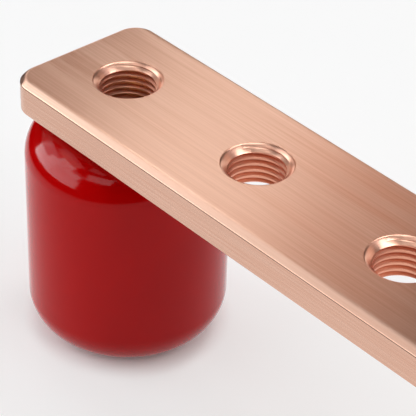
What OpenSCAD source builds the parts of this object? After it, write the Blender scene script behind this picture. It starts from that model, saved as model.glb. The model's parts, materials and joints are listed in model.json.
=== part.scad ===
// Grounding busbar for a 19 inch equipment rack: a flat copper bar with a row of
// tapped holes, carried on two moulded standoff insulators with threaded inserts.
// Millimetres. X runs along the bar, Y across it, Z up. The origin is under the
// middle of the bar, on the surface that the insulators stand on.

/* [Bar] */
// Length of the bar, end to end
bar_length = 482.6; // [120:0.1:1200]
// Width of the bar
bar_width = 25.4; // [18:0.1:60]
// Thickness of the bar
bar_thickness = 6.35; // [4:0.05:12.7]
// Radius of the bar's four corners, seen from above
corner_radius = 4; // [1.6:0.1:8]
// Leg of the 45 degree chamfer along every edge of the bar
edge_chamfer = 0.9; // [0.1:0.05:1.5]

/* [Tapped holes] */
// Distance from one hole's centre to the next
hole_pitch = 28.575; // [16:0.005:100]
// Least distance from the centre of an end hole to the end of the bar
end_margin = 12.7; // [9:0.1:30]
// Diameter of the tapping drill, which is the thread's minor diameter
tap_drill = 8.43; // [4:0.01:9]
// Diameter of the countersink at the top face
countersink_diameter = 10.4; // [9.5:0.05:14]
// Angle between opposite sides of the countersink, in degrees
countersink_angle = 90; // [82:1:120]
// Leg of the small chamfer that clears the burr from the underside of each hole
underside_break = 0.3; // [0.1:0.05:0.6]

/* [Insulators] */
// Diameter of the insulator's barrel
insulator_diameter = 31.75; // [29:0.05:60]
// Height of the insulator, between its two flat ends
insulator_height = 38.1; // [28:0.1:100]
// Radius of the rounded shoulders at the insulator's top and bottom
shoulder_radius = 6.6; // [1:0.1:8]

/* [Threaded inserts] */
// Width of the insert's hexagon, flat to flat
insert_across_flats = 12.7; // [10.5:0.1:14]
// Length of the insert, flush with the insulator's end face
insert_length = 12.7; // [9:0.1:13.5]
// Width of the groove round the insert's middle that the moulding grips
groove_width = 3; // [1:0.1:5]
// Depth of that groove below the insert's flats
groove_depth = 0.9; // [0.3:0.1:1.2]
// Diameter of the tapping drill in the insert, its thread's minor diameter
insert_drill = 6.53; // [3:0.01:7]
// Angle of the drill's point, in degrees
drill_point_angle = 118; // [90:1:140]
// Metal left between the tip of the drilled hole and the insert's closed end
insert_floor = 1.24; // [0.6:0.01:3]
// Leg of the chamfer at the mouth of the insert's thread
insert_mouth_chamfer = 0.9; // [0.2:0.1:1]

/* [Hidden] */
$fn = 96;

copper = "#cf947a";
red_polyester = "#a3161a";
brass = "#c8a85c";

// How far a cutting tool runs past the face that it cuts through
overcut = 1;
// Keeps a row that just fits from losing its last hole to rounding
rounding = 0.001;

// The row of holes is centred on the bar, and an insulator stands under each end hole
hole_steps = floor((bar_length - 2 * end_margin) / hole_pitch + rounding);
hole_x = [for (i = [0 : hole_steps]) (i - hole_steps / 2) * hole_pitch];
left_x = hole_x[0];
right_x = hole_x[hole_steps];

// Depth of the countersink, from its two diameters and its angle
countersink_depth = (countersink_diameter - tap_drill) / 2 / tan(countersink_angle / 2);
// Length of the conical tip that the drill leaves in an insert
drill_tip = insert_drill / 2 / tan(drill_point_angle / 2);
insert_bore_depth = insert_length - insert_floor - drill_tip;

// The bar's cross-section: a slab of the given width with its four edges chamfered
module bar_section(width) {
    half = width / 2;
    c = edge_chamfer;
    t = bar_thickness;
    polygon([
        [-half + c, 0], [half - c, 0], [half, c], [half, t - c],
        [half - c, t], [-half + c, t], [-half, t - c], [-half, c]
    ]);
}

// One rounded corner: half of that section turned about the corner's own axis
module bar_corner() {
    r = corner_radius;
    c = edge_chamfer;
    t = bar_thickness;
    rotate_extrude()
        polygon([[0, 0], [r - c, 0], [r, c], [r, t - c], [r - c, t], [0, t]]);
}

// The bar before drilling: two crossed slabs and the four corners between them
module bar_blank() {
    straight_length = bar_length - 2 * corner_radius;
    straight_width = bar_width - 2 * corner_radius;
    rotate([90, 0, 90])
        linear_extrude(straight_length, center = true) bar_section(bar_width);
    rotate([90, 0, 0])
        linear_extrude(straight_width, center = true) bar_section(bar_length);
    for (side_x = [-1, 1], side_y = [-1, 1])
        translate([side_x * straight_length / 2, side_y * straight_width / 2, 0])
            bar_corner();
}

// What the drill and the countersink take out of the bar at one hole
module hole_cutter() {
    slope = tan(countersink_angle / 2);
    translate([0, 0, -overcut])
        cylinder(d = tap_drill, h = bar_thickness + 2 * overcut);
    translate([0, 0, bar_thickness - countersink_depth])
        cylinder(
            d1 = tap_drill,
            d2 = countersink_diameter + 2 * overcut * slope,
            h = countersink_depth + overcut
        );
    translate([0, 0, -overcut])
        cylinder(
            d1 = tap_drill + 2 * (underside_break + overcut),
            d2 = tap_drill,
            h = underside_break + overcut
        );
}

module busbar() {
    color(copper)
        translate([0, 0, insulator_height])
            difference() {
                bar_blank();
                for (x = hole_x) translate([x, 0, 0]) hole_cutter();
            }
}

// Outside of an insert, its mouth at z = 0 and its closed end above: a hexagon that
// the moulding can't let turn, with a groove that it can't pull out of
module insert_outline() {
    difference() {
        linear_extrude(insert_length)
            circle(d = insert_across_flats / cos(30), $fn = 6);
        translate([0, 0, (insert_length - groove_width) / 2])
            difference() {
                cylinder(d = 2 * insert_across_flats, h = groove_width);
                translate([0, 0, -overcut])
                    cylinder(
                        d = insert_across_flats - 2 * groove_depth,
                        h = groove_width + 2 * overcut
                    );
            }
    }
}

// The drilled hole of an insert, from its chamfered mouth to the drill's point
module insert_bore() {
    r = insert_drill / 2;
    c = insert_mouth_chamfer;
    rotate_extrude()
        polygon([
            [0, -overcut],
            [r + c + overcut, -overcut],
            [r, c],
            [r, insert_bore_depth],
            [0, insert_bore_depth + drill_tip]
        ]);
}

module threaded_insert() {
    color(brass)
        difference() {
            insert_outline();
            insert_bore();
        }
}

// Places an insert with its mouth at the top or at the bottom face of an insulator
module at_top(x) {
    translate([x, 0, insulator_height]) mirror([0, 0, 1]) children();
}

module at_bottom(x) {
    translate([x, 0, 0]) children();
}

// Half of the barrel's outline: straight wall, with a quarter circle at either end
module barrel_profile() {
    r = insulator_diameter / 2;
    s = shoulder_radius;
    square([r - s, insulator_height]);
    translate([0, s]) square([r, insulator_height - 2 * s]);
    for (z = [s, insulator_height - s])
        translate([r - s, z]) intersection() {
            circle(s);
            translate([0, -s]) square([s, 2 * s]);
        }
}

module insulator(x) {
    color(red_polyester)
        difference() {
            translate([x, 0, 0]) rotate_extrude() barrel_profile();
            at_top(x) insert_outline();
            at_bottom(x) insert_outline();
        }
}

busbar();
insulator(left_x);  // insulator_left
insulator(right_x);  // insulator_right
at_top(left_x) threaded_insert();  // insert_top_left
at_bottom(left_x) threaded_insert();  // insert_bottom_left
at_top(right_x) threaded_insert();  // insert_top_right
at_bottom(right_x) threaded_insert();  // insert_bottom_right
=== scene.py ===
"""Looks of a rack grounding busbar: a brushed copper bar with a row of tapped holes,
carried on two glossy red standoff insulators with threaded brass inserts."""

import json
import math

import bmesh
import bpy
from mathutils import Matrix, Vector


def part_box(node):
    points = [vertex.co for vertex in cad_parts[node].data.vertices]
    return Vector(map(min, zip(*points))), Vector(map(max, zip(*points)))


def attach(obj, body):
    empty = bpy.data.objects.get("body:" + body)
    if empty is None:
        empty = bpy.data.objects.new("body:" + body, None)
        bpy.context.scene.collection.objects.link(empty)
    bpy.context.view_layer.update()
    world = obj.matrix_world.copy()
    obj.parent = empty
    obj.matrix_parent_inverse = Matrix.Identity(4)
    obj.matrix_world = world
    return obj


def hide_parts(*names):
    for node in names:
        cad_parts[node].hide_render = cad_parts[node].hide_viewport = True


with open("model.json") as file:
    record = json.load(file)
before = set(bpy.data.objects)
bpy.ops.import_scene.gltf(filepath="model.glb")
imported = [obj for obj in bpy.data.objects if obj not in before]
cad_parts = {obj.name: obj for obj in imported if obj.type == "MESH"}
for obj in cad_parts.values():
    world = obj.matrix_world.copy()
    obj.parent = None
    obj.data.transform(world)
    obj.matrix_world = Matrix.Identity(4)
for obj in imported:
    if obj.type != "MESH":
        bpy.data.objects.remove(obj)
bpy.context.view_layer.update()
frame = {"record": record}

MM = 0.001
MOUNTS = {mount["name"]: mount for mount in frame["record"]["mounts"]}

# ---------------------------------------------------------------- sizes, in metres

BAR_LOW, BAR_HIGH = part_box("busbar")
BAR_SIZE = BAR_HIGH - BAR_LOW
CORNER_RADIUS = 4.0 * MM
EDGE_CHAMFER = 0.9 * MM
# Roundings where the chamfer meets the top or underside, and where it meets the sides
CHAMFER_SOFTENING = 0.35 * MM
CREASE_SOFTENING = 0.15 * MM

TAP_DRILL_RADIUS = MOUNTS["lug_hole_09"]["dims"]["r_mm"] * MM
BAR_THREAD_RADIUS = 9.525 / 2 * MM
BAR_THREAD_PITCH = 25.4 / 24 * MM
COUNTERSINK_RADIUS = 10.4 / 2 * MM
COUNTERSINK_SLOPE = math.tan(math.radians(90 / 2))
COUNTERSINK_DEPTH = (COUNTERSINK_RADIUS - TAP_DRILL_RADIUS) / COUNTERSINK_SLOPE
RIM_ROUNDING = 0.2 * MM
UNDERSIDE_BREAK = 0.3 * MM
# How far the countersink tool's foot lies below its cone, and how far it is drawn in
FOOT_DROP, FOOT_STEP = 0.01 * MM, 0.5 * MM

INSERT_DRILL_RADIUS = MOUNTS["panel_screw_left"]["dims"]["r_mm"] * MM
INSERT_THREAD_RADIUS = 7.9375 / 2 * MM
INSERT_THREAD_PITCH = 25.4 / 18 * MM
INSERT_MOUTH_CHAMFER = 0.9 * MM
INSERT_BORE_DEPTH = 9.5 * MM
DRILL_POINT_SLOPE = math.tan(math.radians(118 / 2))
INSERT_ACROSS_FLATS = 12.7 * MM
GROOVE_WIDTH = 3.0 * MM
GROOVE_DEPTH = 0.9 * MM

SHOULDER_RADIUS = 6.6 * MM

# Half the angle of every thread's V
THREAD_FLANK_SLOPE = math.tan(math.radians(30))
# How far a cutting tool runs past the face that it cuts through
OVERCUT = 1.0 * MM
# Points closer than this are one point
WELD = 0.001 * MM
# Steps round a hole, round a thread, round a barrel, and along each smaller curve
ROUND_STEPS, THREAD_STEPS, BARREL_STEPS = 96, 72, 144
SHOULDER_STEPS, CORNER_STEPS, SOFTENING_STEPS = 24, 20, 4
# Edges sharper than this many degrees stay sharp to the eye
SHARP_ANGLE = 32
SIDES = ("left", "right")
ENDS = ("top", "bottom")


def hole_places():
    """X of every tapped hole, from the mounts that state the row."""
    places = [MOUNTS["lug_hole_09"]["pos_m"][0]]
    for name, mount in MOUNTS.items():
        if name.startswith("lug_holes_"):
            half = mount["dims"]["spacing_x_mm"] / 2 * MM
            places += [mount["pos_m"][0] - half, mount["pos_m"][0] + half]
    return sorted(places)


HOLE_PLACES = hole_places()


# ---------------------------------------------------------------- mesh helpers

def piece_from(name, bm):
    """Turns a finished bmesh into an object at the origin."""
    mesh = bpy.data.meshes.new(name)
    bm.to_mesh(mesh)
    bm.free()
    piece = bpy.data.objects.new(name, mesh)
    bpy.context.scene.collection.objects.link(piece)
    return piece


def weld(bm):
    """Merges doubled vertices, then turns every face outwards."""
    bmesh.ops.remove_doubles(bm, verts=bm.verts, dist=WELD)
    bmesh.ops.dissolve_degenerate(bm, dist=WELD / 4, edges=bm.edges)
    bmesh.ops.recalc_face_normals(bm, faces=bm.faces)


def chain(bm, points):
    """A run of edges through (radius, height) points in the XZ plane."""
    verts = [bm.verts.new((radius, 0, height)) for radius, height in points]
    edges = [bm.edges.new(pair) for pair in zip(verts, verts[1:])]
    return verts + edges


def turned(profile, steps=ROUND_STEPS):
    """A solid turned about Z from a profile whose two ends meet each other or the axis."""
    bm = bmesh.new()
    bmesh.ops.spin(
        bm, geom=chain(bm, profile), cent=(0, 0, 0), axis=(0, 0, 1),
        angle=math.tau, steps=steps, use_merge=True, use_duplicate=False)
    weld(bm)
    return bm


def arc(centre, radius, start, end, steps):
    """Points of an arc in the (radius, height) plane; angles in degrees from +radius."""
    angles = [math.radians(start + (end - start) * i / steps) for i in range(steps + 1)]
    return [
        (centre[0] + radius * math.cos(a), centre[1] + radius * math.sin(a))
        for a in angles]


def thread_tool(minor, major, pitch, low, high):
    """A closed screw-shaped solid between two heights: what a tap leaves open. It is
    wound from one turn's profile, a turn or so too long, and cut off level."""
    root_flat = pitch / 8
    flank = (major - minor) * THREAD_FLANK_SLOPE
    crest_flat = pitch - root_flat - 2 * flank
    profile = [
        (minor, 0), (minor, crest_flat), (major, crest_flat + flank),
        (major, crest_flat + flank + root_flat), (minor, pitch)]
    turns = math.ceil((high - low) / pitch) + 2
    bm = bmesh.new()
    bmesh.ops.spin(
        bm, geom=chain(bm, profile), cent=(0, 0, 0), axis=(0, 0, 1),
        dvec=(0, 0, pitch / THREAD_STEPS), angle=math.tau * turns,
        steps=THREAD_STEPS * turns, use_merge=False, use_duplicate=False)
    bmesh.ops.translate(bm, verts=bm.verts, vec=(0, 0, low - pitch * 1.5))
    bmesh.ops.remove_doubles(bm, verts=bm.verts, dist=WELD)
    for height, way in ((low, -1), (high, 1)):
        cut = bmesh.ops.bisect_plane(
            bm, geom=bm.verts[:] + bm.edges[:] + bm.faces[:], dist=WELD / 10,
            plane_co=(0, 0, height), plane_no=(0, 0, way), clear_outer=True)
        rim = [e for e in cut["geom_cut"] if isinstance(e, bmesh.types.BMEdge)]
        bmesh.ops.holes_fill(bm, edges=rim, sides=0)
    weld(bm)
    return bm


def repeat(name, tool, places):
    """One object that holds a copy of a tool at each of the places."""
    scratch = bpy.data.meshes.new("scratch")
    tool.to_mesh(scratch)
    tool.free()
    whole = bmesh.new()
    for place in places:
        start = len(whole.verts)
        whole.from_mesh(scratch)
        whole.verts.ensure_lookup_table()
        bmesh.ops.translate(whole, vec=place, verts=whole.verts[start:])
    bpy.data.meshes.remove(scratch)
    return piece_from(name, whole)


def cut(piece, tools):
    """Cuts closed tools out of a closed piece."""
    for tool in tools:
        boolean = piece.modifiers.new("cut", "BOOLEAN")
        boolean.operation = "DIFFERENCE"
        boolean.solver = "MANIFOLD"
        boolean.object = tool
        bpy.context.view_layer.objects.active = piece
        bpy.ops.object.modifier_apply(modifier=boolean.name)
    for tool in tools:
        bpy.data.meshes.remove(tool.data)
    return piece


def smooth(piece):
    """Smooth shading, apart from the sharp edges."""
    for polygon in piece.data.polygons:
        polygon.use_smooth = True
    piece.data.set_sharp_from_angle(angle=math.radians(SHARP_ANGLE))
    weighted = piece.modifiers.new("weighted normals", "WEIGHTED_NORMAL")
    weighted.keep_sharp = True
    bpy.context.view_layer.objects.active = piece
    bpy.ops.object.modifier_apply(modifier=weighted.name)


# ---------------------------------------------------------------- the bar

# Radius that the grain of the brushing is bent to, so long that it looks straight
GRAIN_RADIUS = 1000


def bar_blank():
    """The bar before drilling: round corners in plan, and a chamfer along every edge."""
    bm = bmesh.new()
    bmesh.ops.create_cube(bm, size=1)
    bmesh.ops.scale(bm, vec=BAR_SIZE, verts=bm.verts)
    bmesh.ops.translate(bm, vec=(BAR_LOW + BAR_HIGH) / 2, verts=bm.verts)
    upright = [
        e for e in bm.edges if abs(e.verts[0].co.z - e.verts[1].co.z) > BAR_SIZE.z / 2]
    bevel(bm, upright, CORNER_RADIUS, CORNER_STEPS)
    for height in (BAR_LOW.z, BAR_HIGH.z):
        bevel(bm, edges_at(bm, height), EDGE_CHAMFER, 1)
    for height, inwards in ((BAR_LOW.z, 1), (BAR_HIGH.z, -1)):
        crease = height + inwards * EDGE_CHAMFER
        bevel(bm, edges_at(bm, height), CHAMFER_SOFTENING, SOFTENING_STEPS)
        bevel(bm, edges_at(bm, crease), CREASE_SOFTENING, SOFTENING_STEPS)
    return bm


def edges_at(bm, height):
    """The edges that lie at one height, round the bar's outline."""
    return [e for e in bm.edges if all(abs(v.co.z - height) < WELD for v in e.verts)]


def bevel(bm, edges, width, segments):
    """Chamfers edges with one segment, or rounds them with more."""
    bmesh.ops.bevel(
        bm, geom=edges, offset=width, offset_type="OFFSET", segments=segments,
        profile=0.5, affect="EDGES", material=-1, clamp_overlap=True)


def countersink_tool():
    """Takes out a countersink with a softly rounded rim, with its top face at z = 0. Its
    foot is drawn in a hair below the cone, so that it leaves no thin ring."""
    rim, drill = COUNTERSINK_RADIUS, TAP_DRILL_RADIUS
    foot = COUNTERSINK_DEPTH + FOOT_DROP
    cone = [
        (rim - COUNTERSINK_SLOPE * RIM_ROUNDING, -RIM_ROUNDING),
        (drill, -COUNTERSINK_DEPTH)]
    rounding = [
        (rim + RIM_ROUNDING, 0),
        (rim + RIM_ROUNDING * 0.45, -RIM_ROUNDING * 0.12),
        (rim - RIM_ROUNDING * 0.1, -RIM_ROUNDING * 0.45)]
    above = [(0, OVERCUT), (rim + RIM_ROUNDING, OVERCUT)]
    return turned(above + rounding + cone + [(drill - FOOT_STEP, -foot), (0, -foot)])


def underside_tool():
    """Breaks the lower edge of a hole, with the underside at z = 0."""
    wide = TAP_DRILL_RADIUS + UNDERSIDE_BREAK + OVERCUT
    return turned([
        (0, -OVERCUT), (wide, -OVERCUT), (TAP_DRILL_RADIUS, UNDERSIDE_BREAK),
        (0, UNDERSIDE_BREAK)])


def make_bar():
    """The bar, with its row of tapped and countersunk holes."""
    bar = piece_from("copper_bar", bar_blank())
    under = [Vector((x, 0, BAR_LOW.z)) for x in HOLE_PLACES]
    over = [Vector((x, 0, BAR_HIGH.z)) for x in HOLE_PLACES]
    tap = thread_tool(
        TAP_DRILL_RADIUS, BAR_THREAD_RADIUS, BAR_THREAD_PITCH,
        -OVERCUT, BAR_SIZE.z + OVERCUT)
    cut(bar, [
        repeat("taps", tap, under), repeat("countersinks", countersink_tool(), over),
        repeat("breaks", underside_tool(), under)])
    smooth(bar)
    # The brushing's grain circles the middle of the bar's texture space. With that middle
    # a long way off to the side, the grain runs straight along the bar.
    bar.data.use_auto_texspace = False
    bar.data.texspace_location = (0, -GRAIN_RADIUS, 0)
    bar.data.texspace_size = (1, 1, 1)
    return bar


# ---------------------------------------------------------------- insulators and inserts

def insert_blank():
    """A hexagon with a groove round its middle, its mouth at z = 0."""
    low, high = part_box("insert_bottom_left")
    length = high.z - low.z
    half_side = math.radians(30)
    bm = bmesh.new()
    bmesh.ops.create_circle(
        bm, cap_ends=True, radius=INSERT_ACROSS_FLATS / 2 / math.cos(half_side), segments=6)
    face = bmesh.ops.extrude_face_region(bm, geom=bm.faces[:])
    raised = [v for v in face["geom"] if isinstance(v, bmesh.types.BMVert)]
    bmesh.ops.translate(bm, vec=(0, 0, length), verts=raised)
    turn = Matrix.Rotation(half_side, 3, "Z")
    bmesh.ops.rotate(bm, cent=(0, 0, 0), matrix=turn, verts=bm.verts)
    weld(bm)
    blank = piece_from("insert_blank", bm)
    inner, outer = INSERT_ACROSS_FLATS / 2 - GROOVE_DEPTH, INSERT_ACROSS_FLATS
    under, over = length / 2 - GROOVE_WIDTH / 2, length / 2 + GROOVE_WIDTH / 2
    ring = [(inner, under), (outer, under), (outer, over), (inner, over), (inner, under)]
    return cut(blank, [piece_from("groove", turned(ring))])


def insert_bore():
    """The drilled hole, its chamfered mouth and its pointed end."""
    r, c = INSERT_DRILL_RADIUS, INSERT_MOUTH_CHAMFER
    return turned([
        (0, -OVERCUT), (r + c + OVERCUT, -OVERCUT), (r, c), (r, INSERT_BORE_DEPTH),
        (0, INSERT_BORE_DEPTH + r / DRILL_POINT_SLOPE)])


def insert_place(where, side):
    """Puts an insert's mouth at the top or the bottom face of an insulator."""
    low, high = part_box(f"insulator_{side}")
    middle = (low + high) / 2
    if where == "top":
        upside_down = Matrix.Rotation(math.pi, 4, "X")
        return Matrix.Translation((middle.x, middle.y, high.z)) @ upside_down
    return Matrix.Translation((middle.x, middle.y, low.z))


def make_insert(where, side):
    """A threaded insert, seated in its pocket."""
    insert = insert_blank()
    insert.name = f"threaded_insert_{where}_{side}"
    thread = thread_tool(
        INSERT_DRILL_RADIUS, INSERT_THREAD_RADIUS, INSERT_THREAD_PITCH,
        -OVERCUT, INSERT_BORE_DEPTH - INSERT_THREAD_PITCH)
    cut(insert, [piece_from("tap", thread), piece_from("bore", insert_bore())])
    insert.data.transform(insert_place(where, side))
    smooth(insert)
    return insert


def make_insulator(side):
    """The moulded barrel, with a pocket at each end that its insert fills."""
    low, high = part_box(f"insulator_{side}")
    radius = (high.x - low.x) / 2
    flat = radius - SHOULDER_RADIUS
    profile = [(0, low.z)]
    lower, upper = low.z + SHOULDER_RADIUS, high.z - SHOULDER_RADIUS
    profile += arc((flat, lower), SHOULDER_RADIUS, -90, 0, SHOULDER_STEPS)
    profile += arc((flat, upper), SHOULDER_RADIUS, 0, 90, SHOULDER_STEPS)
    profile += [(0, high.z)]
    body = piece_from(f"red_barrel_{side}", turned(profile, BARREL_STEPS))
    body.data.transform(Matrix.Translation(((low.x + high.x) / 2, (low.y + high.y) / 2, 0)))
    pockets = []
    for where in ENDS:
        blank = insert_blank()
        blank.data.transform(insert_place(where, side))
        pockets.append(blank)
    cut(body, pockets)
    smooth(body)
    return body


# ---------------------------------------------------------------- materials

class Wire:
    """A node's output that takes part in Python sums: each sum adds a Math node."""

    def __init__(self, paint, socket):
        self.paint, self.socket = paint, socket

    def math(self, operation, first, second):
        return self.paint.node("ShaderNodeMath", {"operation": operation}, {0: first, 1: second})

    def __add__(self, other):
        return self.math("ADD", self, other)

    def __sub__(self, other):
        return self.math("SUBTRACT", self, other)

    def __rsub__(self, other):
        return self.math("SUBTRACT", other, self)

    def __mul__(self, other):
        return self.math("MULTIPLY", self, other)

    __radd__, __rmul__ = __add__, __mul__


class Paint:
    """A material and its node tree."""

    def __init__(self, name):
        self.material = bpy.data.materials.new(name)
        self.material.use_nodes = True
        self.nodes = self.material.node_tree.nodes
        self.links = self.material.node_tree.links
        self.nodes.clear()

    def node(self, kind, settings=None, inputs=None, output=0):
        """Adds a node: its settings first, then the values or wires of its sockets."""
        node = self.nodes.new(kind)
        for key, value in (settings or {}).items():
            setattr(node, key, value)
        for key, value in (inputs or {}).items():
            if isinstance(value, Wire):
                self.links.new(value.socket, node.inputs[key])
            else:
                node.inputs[key].default_value = value
        return Wire(self, node.outputs[output] if node.outputs else None)

    def place(self, scale):
        """Object coordinates, stretched."""
        spot = self.node("ShaderNodeTexCoord", output="Object")
        return self.node("ShaderNodeMapping", None, {"Vector": spot, "Scale": scale})

    def noise(self, scale, detail=2.0, roughness=0.5):
        """Noise with so many grains to the metre along X, Y and Z."""
        return self.node("ShaderNodeTexNoise", None, {
            "Vector": self.place(scale), "Scale": 1.0,
            "Detail": detail, "Roughness": roughness})

    def sharpen(self, value, low, high):
        """Stretches the values from low to high over the whole of 0 to 1."""
        return self.node("ShaderNodeMapRange", None, {"Value": value, 1: low, 2: high})

    def blend(self, factor, first, second):
        """Mixes two colours."""
        return self.node(
            "ShaderNodeMix", {"data_type": "RGBA"},
            {"Factor": factor, 6: first, 7: second}, output=2)

    def bump(self, height, strength, distance):
        """Relief of a depth in metres."""
        return self.node("ShaderNodeBump", None, {
            "Height": height, "Strength": strength, "Distance": distance})

    def surface(self, **sockets):
        """Ends the tree in a Principled shader; keywords name its sockets."""
        shader = self.node(
            "ShaderNodeBsdfPrincipled", None,
            {key.replace("_", " "): value for key, value in sockets.items()})
        self.node("ShaderNodeOutputMaterial", None, {"Surface": shader})
        return self.material


# Colours, each with the deeper tone that it is mixed with
COPPER = (0.80, 0.50, 0.38, 1)
COPPER_SHADE = (0.665, 0.375, 0.27, 1)
CUT_COPPER = (0.90, 0.53, 0.40, 1)
CUT_COPPER_SHADE = (0.80, 0.41, 0.28, 1)
# The threads' copper is deeper and redder than the countersinks': painted shade inside the holes
THREAD_COPPER_PAINTED_SHADE = (0.86, 0.43, 0.30, 1)
THREAD_COPPER_PAINTED_SHADE_DEEP = (0.72, 0.31, 0.20, 1)
RED = (0.495, 0.0006, 0.001, 1)
RED_SHADE = (0.455, 0.0004, 0.0008, 1)
BRASS = (0.88, 0.63, 0.36, 1)
BRASS_SHADE = (0.78, 0.53, 0.28, 1)


def brushed_copper(name, smoothest):
    """Fine scratches along the bar, crisp ones over broader faint ones, with the
    roughness of the smoothest scratch."""
    paint = Paint(name)
    fine = paint.sharpen(paint.noise((46, 3300, 3300), 3.0, 0.6), 0.32, 0.68)
    broad = paint.sharpen(paint.noise((9, 800, 800)), 0.3, 0.7)
    tone = paint.blend(fine * 0.75 + broad * 0.25, COPPER_SHADE, COPPER)
    return paint.surface(
        Base_Color=tone, Metallic=1.0,
        Roughness=fine * 0.08 + broad * 0.06 + smoothest,
        Anisotropic=1.0, Anisotropic_Rotation=0.25,
        Normal=paint.bump(fine, 0.1, 0.00001))


def machined_copper():
    """Bright cut copper of the countersinks, with the cutter's fine rings."""
    paint = Paint("machined_copper")
    rings = paint.noise((300, 300, 9000))
    return paint.surface(
        Base_Color=paint.blend(rings, CUT_COPPER_SHADE, CUT_COPPER), Metallic=1.0,
        Roughness=rings * 0.08 + 0.25)


def tapped_copper():
    """The threads, which a tap leaves rougher than a countersink, in a deeper, redder copper:
    painted shade deep in the holes.
    """
    paint = Paint("tapped_copper")
    tears = paint.noise((900, 900, 3000), 3.0, 0.6)
    return paint.surface(
        Base_Color=paint.blend(tears, THREAD_COPPER_PAINTED_SHADE_DEEP, THREAD_COPPER_PAINTED_SHADE), Metallic=1.0,
        Roughness=tears * 0.12 + 0.3)


def burnished_copper():
    """The narrow rounding where a chamfer meets a side, rubbed smooth."""
    paint = Paint("burnished_copper")
    rubs = paint.noise((60, 900, 900))
    return paint.surface(
        Base_Color=paint.blend(rubs, COPPER_SHADE, COPPER), Metallic=1.0,
        Roughness=rubs * 0.06 + 0.1)


def red_polyester():
    """Glossy moulded polyester, with the faint waviness of the mould."""
    paint = Paint("red_polyester")
    cloud = paint.noise((120, 120, 120))
    return paint.surface(
        Base_Color=paint.blend(cloud, RED_SHADE, RED),
        Roughness=cloud * 0.04 + 0.07, IOR=1.5, Specular_IOR_Level=0.135,
        Normal=paint.bump(cloud, 0.1, 0.0002))


def turned_brass():
    """Brass as a lathe leaves it, in fine rings."""
    paint = Paint("turned_brass")
    rings = paint.noise((400, 400, 6000))
    return paint.surface(
        Base_Color=paint.blend(rings, BRASS_SHADE, BRASS), Metallic=1.0,
        Roughness=rings * 0.14 + 0.24)


# Where each finish of the bar stands among its materials
BRUSHED, MACHINED, THREADS_IN_PAINTED_SHADE, BURNISHED, BRUSHED_SIDE = range(5)
# How far a face's normal leans upwards, as its Z: level faces lie above the first,
# roundings towards the sides below the second, and upright faces below the third
LEVEL, STEEP, UPRIGHT = 0.9999, 0.69, 0.02


def finish_of(polygon):
    """The finish of one face of the bar, from where it lies and how it leans."""
    at, lean = polygon.center, abs(polygon.normal.z)
    off_axis = min(math.hypot(at.x - x, at.y) for x in HOLE_PLACES)
    if off_axis < COUNTERSINK_RADIUS + RIM_ROUNDING and lean <= LEVEL:
        return MACHINED if at.z > BAR_HIGH.z - COUNTERSINK_DEPTH else THREADS_IN_PAINTED_SHADE
    if lean < UPRIGHT:
        return BRUSHED_SIDE
    creases = (BAR_LOW.z + EDGE_CHAMFER, BAR_HIGH.z - EDGE_CHAMFER)
    if lean < STEEP and min(abs(at.z - z) for z in creases) < CREASE_SOFTENING:
        return BURNISHED
    return BRUSHED


def finish_bar(bar):
    """Brushed outside, machined in the countersinks, tapped and darkened with painted shade in
    the holes, and rubbed smooth where the chamfer meets the sides."""
    bar.data.materials.clear()
    bar.data.materials.append(brushed_copper("brushed_copper", 0.275))
    bar.data.materials.append(machined_copper())
    bar.data.materials.append(tapped_copper())
    bar.data.materials.append(burnished_copper())
    bar.data.materials.append(brushed_copper("brushed_side", 0.12))
    for polygon in bar.data.polygons:
        polygon.material_index = finish_of(polygon)


# ---------------------------------------------------------------- camera, floor and light

VIEW_AZIMUTH, VIEW_ELEVATION, VIEW_ROLL = (math.radians(a) for a in (47.5, 35.85, 1.77))
# The camera stands this far from the bar's left end, its middle line and its top face
EYE_FROM_END = Vector((202.46, -156.91, 154.45)) * MM
# Focal length and film width, in millimetres
LENS, FILM_WIDTH = 167.66, 36

WHITE, BLACK = (1, 1, 1, 1), (0, 0, 0, 1)
TABLE_COLOUR = (0.95, 0.95, 0.95, 1)
# Half the width of the table, in metres
TABLE_REACH = 3
# How far the table's own white stands in for the light that falls on it, where the table
# is seen directly and where it is seen in a gloss
TABLE_LIFT = 0.52
MIRRORED_LIFT = 0.95
# Painted shade at the insulators' feet: the lift fades in between these distances from an
# insulator's axis, past its foot
PAINTED_FOOT_SHADE = (0.0105, 0.0170)
# In a gloss the table fades out between these distances from the bar
TABLE_EDGE = (0.090, 0.125)


def make_camera():
    """A long lens over the bar's right-hand side, looking at its left end."""
    back = Vector((
        math.sin(VIEW_AZIMUTH) * math.cos(VIEW_ELEVATION),
        -math.cos(VIEW_AZIMUTH) * math.cos(VIEW_ELEVATION),
        math.sin(VIEW_ELEVATION)))
    right = (-back).cross(Vector((0, 0, 1))).normalized()
    turn = Matrix((right, back.cross(right), back)).transposed().to_4x4()
    eye = Vector((BAR_LOW.x, 0, BAR_HIGH.z)) + EYE_FROM_END
    lens = bpy.data.cameras.new("camera")
    lens.lens, lens.sensor_width = LENS, FILM_WIDTH
    lens.clip_start, lens.clip_end = 0.01, 20
    camera = bpy.data.objects.new("camera", lens)
    camera.matrix_world = Matrix.Translation(eye) @ turn @ Matrix.Rotation(VIEW_ROLL, 4, "Z")
    bpy.context.scene.collection.objects.link(camera)
    bpy.context.scene.camera = camera


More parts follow.
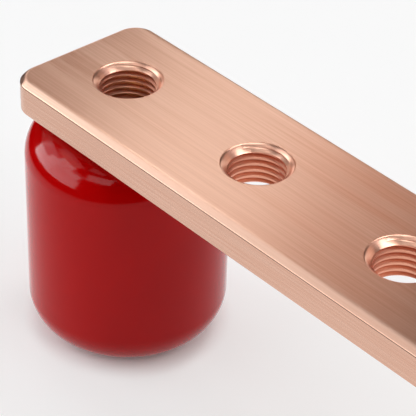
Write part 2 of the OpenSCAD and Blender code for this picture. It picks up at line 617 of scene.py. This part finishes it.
def white_table():
    """A white table that looks nearly as white as it is, and still takes a soft shadow; painted
    shade, where its white lift fades out, makes that deepest round the insulators' feet. In
    a gloss the table ends a hand's width from the bar, so that the gloss keeps dark lines."""
    paint = Paint("white_table")
    lit = paint.node("ShaderNodeBsdfDiffuse", None, {"Color": TABLE_COLOUR})
    white = paint.node("ShaderNodeEmission", None, {"Color": WHITE})
    black = paint.node("ShaderNodeEmission", None, {"Color": BLACK})
    mirrored = paint.node("ShaderNodeLightPath", output="Is Glossy Ray")
    seen = paint.node("ShaderNodeLightPath", output="Is Camera Ray")
    seen = seen + paint.node("ShaderNodeLightPath", output="Is Transmission Ray")
    spot = paint.node("ShaderNodeTexCoord", output="Object")
    x = paint.node("ShaderNodeSeparateXYZ", None, {0: spot}, output="X")
    y = paint.node("ShaderNodeSeparateXYZ", None, {0: spot}, output="Y")
    x = paint.node("ShaderNodeMath", {"operation": "ABSOLUTE"}, {0: x})
    past_foot = x - MOUNTS["panel_screw_right"]["pos_m"][0]
    inside, outside = PAINTED_FOOT_SHADE
    # Painted shade: the lift is taken away round each foot, so the table's own lit shadow shows
    # there at full depth
    clear = paint.sharpen(past_foot * past_foot + y * y, inside ** 2, outside ** 2)
    past_end = paint.node(
        "ShaderNodeMath", {"operation": "MAXIMUM"}, {0: x - BAR_HIGH.x, 1: 0})
    near, far = TABLE_EDGE
    gone = paint.sharpen(past_end * past_end + y * y, near ** 2, far ** 2)
    lift = (seen * TABLE_LIFT + mirrored * MIRRORED_LIFT) * clear
    table = paint.node("ShaderNodeMixShader", None, {0: lift, 1: lit, 2: white})
    table = paint.node(
        "ShaderNodeMixShader", None, {0: mirrored * gone, 1: table, 2: black})
    paint.node("ShaderNodeOutputMaterial", None, {"Surface": table})
    return paint.material


def make_floor():
    """The table's top, level with the insulators' feet."""
    bm = bmesh.new()
    bmesh.ops.create_grid(bm, x_segments=1, y_segments=1, size=TABLE_REACH)
    floor = piece_from("floor", bm)
    floor.location.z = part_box("insulator_left")[0].z
    floor.data.materials.append(white_table())


# The lamps stand round a spot on the bar, this far from it and from its left end
LAMP_DISTANCE = 1.4
LAMP_AIM_FROM_END = 0.03
# Width and height of the lamps that share a size, in metres
STRIP, BOX, HIGH_BOX = (0.17, 0.52), (0.56, 0.42), (0.4, 0.45)
WORLD_GLOW = (0.045, 0.027, 0.02, 1)


def lamp(name, way, turn, size, glow):
    """A rectangular lamp aimed at the bar's left end, from a direction and a turn. A
    mirror shows it in the colour of its glow, where 1 is white."""
    data = bpy.data.lights.new(name, "AREA")
    data.shape, data.size, data.size_y = "RECTANGLE", size[0], size[1]
    strongest = max(glow)
    data.energy = strongest * math.pi * size[0] * size[1]
    data.color = [part / strongest for part in glow]
    aim = Vector((BAR_LOW.x + LAMP_AIM_FROM_END, 0, BAR_HIGH.z))
    light = bpy.data.objects.new(name, data)
    light.matrix_world = Matrix.Translation(aim + way * LAMP_DISTANCE) @ turn.to_4x4()
    bpy.context.scene.collection.objects.link(light)
    return light


def softbox(name, azimuth, elevation, size, glow):
    """A lamp placed by its azimuth from +X and its elevation, in degrees."""
    a, e = math.radians(azimuth), math.radians(elevation)
    way = Vector((math.cos(a) * math.cos(e), math.sin(a) * math.cos(e), math.sin(e)))
    return lamp(name, way, way.to_track_quat("Z", "Y").to_matrix(), size, glow)


def glare(name, azimuth, elevation, size, glow, glossy):
    """A softbox that only the pieces of one collection show, as a highlight."""
    light = softbox(name, azimuth, elevation, size, glow)
    light.visible_diffuse = False
    light.light_linking.receiver_collection = glossy


def arch_lamp(name, slant, rise, glow):
    """One strip of an arch over the bar, at one slant to its length all the way round:
    the brushing shows such an arch as a single broad sheen across the bar. The slant
    is a cosine, and the rise is in degrees."""
    a, across = math.radians(rise), math.sqrt(1 - slant ** 2)
    way = Vector((-slant, across * math.cos(a), across * math.sin(a)))
    along = Vector((0, -math.sin(a), math.cos(a)))
    turn = Matrix((along.cross(way), along, way)).transposed()
    lamp(name, way, turn, STRIP, glow)


def light_bar():
    """Soft studio light from all round: an arch over the bar for its sheen, windows low
    at the front left, and the strongest boxes high at the right and at the back."""
    arch_lamp("arch", 0.614, 72, (4.2, 4.6, 4.65))
    arch_lamp("arch_low", 0.53, 50, (1.2, 0.7, 0.5))
    softbox("overhead", 0, 85, (0.6, 0.6), (2.4, 2.65, 2.7))
    softbox("right", 0, 43, BOX, (4.9, 4.8, 4.8))
    softbox("right_back", 30, 43, BOX, (3.7, 4.0, 4.1))
    softbox("back_right_low", 75, 22, (0.45, 0.4), (0.9, 0.65, 0.55))
    softbox("back_right", 60, 43, BOX, (0.65, 0.58, 0.63))
    softbox("back_high", 90, 62, HIGH_BOX, (6.2, 6.2, 6.2))
    softbox("back_low", 102, 8, (1.35, 0.36), (1.2, 1.15, 1.1))
    softbox("back_left_low", 153, 8, (0.75, 0.36), (1.7, 1.55, 1.5))
    softbox("back_left", 148, 34, STRIP, (0.8, 0.35, 0.15))
    softbox("left", 184, 25, (0.74, 0.4), (0.8, 0.65, 0.6))
    softbox("window", 229, 20, (1.78, 1.04), (1.5, 1.6, 1.65))
    softbox("window_high", 222, 48.5, (0.85, 0.37), (1.4, 1.45, 1.5))
    softbox("front_right", 312, 54, HIGH_BOX, (1.2, 1.2, 1.2))
    softbox("window_left", 212, 18, (0.75, 0.91), (1.1, 1.4, 1.5))
    softbox("front_high", 270, 62, HIGH_BOX, (1.48, 1.42, 1.42))
    softbox("right_low", 30, 8, (0.62, 0.36), (1.6, 1.5, 1.5))


def light_gloss():
    """The highlights on the insulators' shoulders: two bright panes with a dark bar
    between them, and a smaller one to the right."""
    glossy = bpy.data.collections.new("insulators")
    for side in SIDES:
        glossy.objects.link(bpy.data.objects[f"red_barrel_{side}"])
    glare("glare_low", 231, 10, (1.85, 0.54), (5.6, 5.6, 5.6), glossy)
    glare("glare_middle", 238, 27, (1.12, 0.29), (5.6, 5.6, 5.6), glossy)
    glare("glare_high", 234, 38, (0.51, 0.24), (6.0, 6.0, 6.0), glossy)
    glare("glare_top", 226, 46, (0.69, 0.27), (1.6, 1.1, 0.8), glossy)
    glare("glare_right", 284, 39, (0.64, 0.36), (3.7, 3.7, 3.7), glossy)


def make_world():
    """A faint warm glow from the walls of the studio."""
    world = bpy.data.worlds.new("studio")
    bpy.context.scene.world = world
    world.use_nodes = True
    background = world.node_tree.nodes["Background"]
    background.inputs["Color"].default_value = WORLD_GLOW
    background.inputs["Strength"].default_value = 1.0


# ---------------------------------------------------------------- the whole

def place(piece, node, slot, material=None):
    """Hides the node that a piece stands for, hangs the piece on the root body, and gives it
    the material if one is given. The slot is not used.
    """
    if material:
        piece.data.materials.clear()
        piece.data.materials.append(material)
    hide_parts(node)
    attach(piece, "root")


make_camera()
bar = make_bar()
finish_bar(bar)
place(bar, "busbar", "copper")

polyester, brass = red_polyester(), turned_brass()
for side in SIDES:
    place(make_insulator(side), f"insulator_{side}", "red_polyester", polyester)
    for where in ENDS:
        place(make_insert(where, side), f"insert_{where}_{side}", "insert_brass", brass)

make_floor()
light_bar()
light_gloss()
make_world()
bpy.context.scene.view_settings.view_transform = "Standard"
